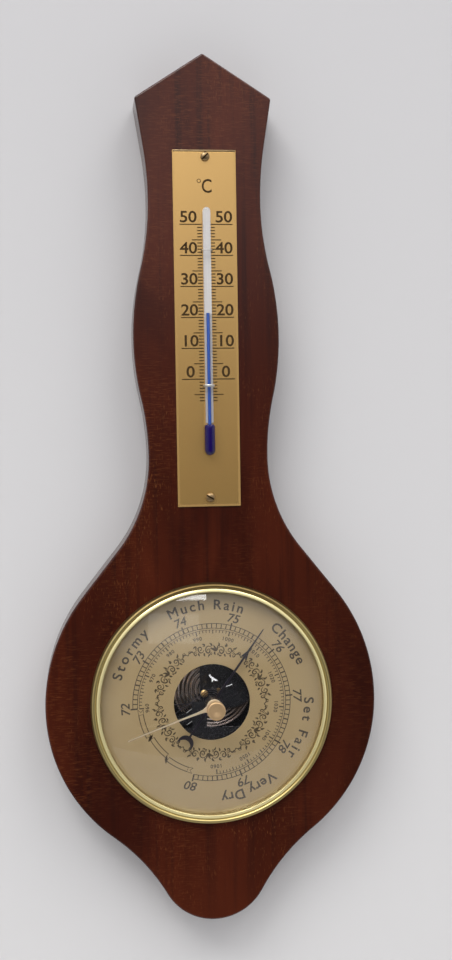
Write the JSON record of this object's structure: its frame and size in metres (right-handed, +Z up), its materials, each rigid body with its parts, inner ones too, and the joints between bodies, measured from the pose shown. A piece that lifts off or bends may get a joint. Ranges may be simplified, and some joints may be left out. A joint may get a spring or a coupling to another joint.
{
  "type": "wall barometer",
  "caption": "Banjo-shaped wooden wall barometer with an aneroid movement, open-centred dial, set hand, brass bezel and a tube thermometer on its neck.",
  "frame": {"origin": "where the wall's hook carries the keyhole plate, on the wall plane", "axes": "+X to the right seen from the front, +Y into the wall, +Z up"},
  "size_m": [0.18, 0.0449, 0.4684],
  "materials": {
    "varnished_wood": "dark red-brown stain under satin varnish",
    "gold_plate": "satin gold lacquer with black print",
    "dial_gold": "satin gold-beige lacquer with black print",
    "polished_brass": "polished and lacquered",
    "clear_glass": "clear and polished",
    "blue_spirit": "dyed spirit",
    "zinc_sheet": "dull zinc plate",
    "bright_steel": "bright drawn and turned steel",
    "black_lacquer": "glossy black lacquer",
    "blued_steel": "dark blued and polished"
  },
  "bodies": {
    "root": {"board": "varnished_wood", "hanger_plate": "zinc_sheet", "hanger_screw_top": "bright_steel", "hanger_screw_bottom": "bright_steel", "thermometer_plate": "gold_plate", "thermometer_screw_top": "polished_brass", "thermometer_screw_bottom": "polished_brass", "tube_clip_lower": "zinc_sheet", "tube_clip_upper": "zinc_sheet", "thermometer_glass": "clear_glass", "thermometer_spirit": "blue_spirit", "case_drum": "zinc_sheet", "case_clip_1": "zinc_sheet", "case_clip_2": "zinc_sheet", "case_clip_3": "zinc_sheet", "case_clip_screw_1": "bright_steel", "case_clip_screw_2": "bright_steel", "case_clip_screw_3": "bright_steel", "bezel": "polished_brass", "glass": "clear_glass", "glass_spacer": "polished_brass", "dial": "dial_gold", "base_plate": "black_lacquer", "base_screw_1": "bright_steel", "base_screw_2": "bright_steel", "base_screw_3": "bright_steel", "capsule_back": "black_lacquer", "spring_bridge": "black_lacquer", "bridge_screw_upper": "bright_steel", "bridge_screw_lower": "bright_steel", "shaft_bracket": "polished_brass", "chain": "bright_steel", "arbor_cock": "black_lacquer", "cock_pillar_left": "black_lacquer", "cock_pillar_right": "black_lacquer", "cock_screw_left": "bright_steel", "cock_screw_right": "bright_steel", "hairspring": "bright_steel", "hairspring_stud": "polished_brass"},
    "pointer_body": {"pointer_arbor": "bright_steel", "pointer": "blued_steel"},
    "set_hand_body": {"set_hand": "polished_brass", "set_hand_knob": "polished_brass", "knob_washer": "polished_brass"},
    "capsule_body": {"capsule_front": "black_lacquer", "capsule_post": "polished_brass"},
    "spring_body": {"mainspring": "black_lacquer", "lever_arm": "bright_steel", "lever_stud": "polished_brass"},
    "link_body": {"link": "bright_steel"},
    "rocker_body": {"rocking_shaft": "bright_steel"},
    "adjuster_body": {"adjusting_screw": "bright_steel"}
  },
  "joints": [
    {"name": "pointer_turn", "type": "hinge", "parent": "root", "child": "pointer_body", "pos_m": [0, -0.0242, -0.31699], "axis": [0, 1, 0], "range_deg": [-128, 160]},
    {"name": "set_hand_turn", "type": "hinge", "parent": "root", "child": "set_hand_body", "pos_m": [0, -0.0375, -0.31699], "axis": [0, 1, 0], "continuous": true},
    {"name": "capsule_breath", "type": "slide", "parent": "root", "child": "capsule_body", "axis": [0, 1, 0], "range_m": [-0.00021315, 0.0002664]},
    {"name": "mainspring_flex", "type": "hinge", "parent": "root", "child": "spring_body", "pos_m": [0.024, -0.0126, -0.31229], "axis": [0, 0, 1], "range_deg": [-0.7, 0.6]},
    {"name": "link_lift", "type": "slide", "parent": "root", "child": "link_body", "axis": [0, 1, 0], "range_m": [-0.0005, 0.0006]},
    {"name": "rocking_shaft_turn", "type": "hinge", "parent": "root", "child": "rocker_body", "pos_m": [-0.0235, -0.008, -0.32389], "axis": [0, 0, 1], "range_deg": [-24, 19.2], "deforming": ["chain"]},
    {"name": "adjuster_turn", "type": "hinge", "parent": "root", "child": "adjuster_body", "pos_m": [0.0016, -0.0035, -0.31229], "axis": [0, 1, 0], "range_deg": [-360, 360]}
  ],
  "couplings": [
    {"joint": "pointer_turn", "follows": "capsule_breath", "rad_per_m": 10479},
    {"joint": "rocking_shaft_turn", "follows": "capsule_breath", "rad_per_m": -1559.3},
    {"joint": "link_lift", "follows": "capsule_breath", "ratio": 2.183},
    {"joint": "mainspring_flex", "follows": "capsule_breath", "rad_per_m": -44.643}
  ]
}
